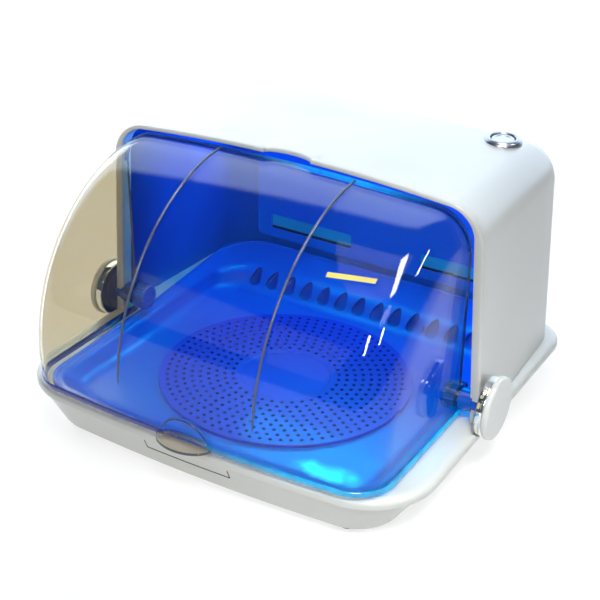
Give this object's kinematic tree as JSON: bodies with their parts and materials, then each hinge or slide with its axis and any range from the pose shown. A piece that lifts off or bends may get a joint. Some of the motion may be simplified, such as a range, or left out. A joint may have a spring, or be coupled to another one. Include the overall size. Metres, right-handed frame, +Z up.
{
  "type": "ultraviolet sanitizer",
  "caption": "Free-standing cabinet with a white hood, a tinted visor that swings up into it, a blue tray with a perforated plate, a lamp at the back and a push button on the roof",
  "frame": {"origin": "On the surface it stands on, under the middle of its bounding box.", "axes": "+Z up, front with the visor towards -Y, back towards +Y, the push button's side towards +X."},
  "size_m": [0.3986, 0.377, 0.2475],
  "materials": {
    "white_plastic": "moulded, glossy",
    "base_plastic": "moulded, satin",
    "blue_plastic": "moulded, satin",
    "tinted_pane": "clear tinted acrylic",
    "chrome": "polished",
    "sheet_metal": "bright sheet",
    "steel": "plated",
    "lamp_glass": "clear quartz",
    "grey_plastic": "moulded, matt",
    "dark_plastic": "moulded, matt",
    "rubber": "moulded"
  },
  "bodies": {
    "base": {"hood_shell": "white_plastic", "base_housing": "base_plastic", "tray": "blue_plastic", "back_panel": "blue_plastic", "power_bezel": "chrome", "reflector": "sheet_metal", "lamp_cap_right": "sheet_metal", "lamp_cap_left": "sheet_metal", "plate_screw_front_right": "steel", "plate_screw_front_left": "steel", "plate_screw_rear_right": "steel", "plate_screw_rear_left": "steel", "cover_screw_low_right": "steel", "cover_screw_high_right": "steel", "cover_screw_low_left": "steel", "cover_screw_high_left": "steel", "lamp_tube": "lamp_glass", "bottom_plate": "grey_plastic", "rear_cover": "grey_plastic", "lamp_holder_right": "grey_plastic", "lamp_holder_left": "grey_plastic", "bushing_right": "grey_plastic", "bushing_left": "grey_plastic", "ballast": "grey_plastic", "terminal_block": "grey_plastic", "interlock_switch": "dark_plastic", "power_switch": "dark_plastic", "power_inlet": "dark_plastic", "foot_front_right": "rubber", "foot_front_left": "rubber", "foot_rear_right": "rubber", "foot_rear_left": "rubber"},
    "visor": {"visor": "tinted_pane", "visor_lip": "tinted_pane", "pivot_pin_right": "steel", "pivot_pin_left": "steel", "pivot_nut_right": "tinted_pane", "pivot_nut_left": "tinted_pane", "hub_right": "chrome", "hub_left": "chrome", "knob_cap_right": "white_plastic", "knob_cap_left": "white_plastic", "interlock_magnet": "dark_plastic"},
    "button": {"power_button": "chrome"},
    "plate": {"drain_plate": "blue_plastic"}
  },
  "joints": [
    {"name": "visor_hinge", "type": "hinge", "parent": "base", "child": "visor", "pos_m": [0, -0.0115, 0.067], "axis": [-1, 0, 0], "range_deg": [0, 88]},
    {"name": "button_press", "type": "slide", "parent": "base", "child": "button", "axis": [0, 0, -1], "range_m": [0, 0.0025], "stiffness_N_per_m": 400},
    {"name": "plate_lift", "type": "slide", "parent": "base", "child": "plate", "axis": [0, 0, 1], "range_m": [0, 0.03]}
  ]
}
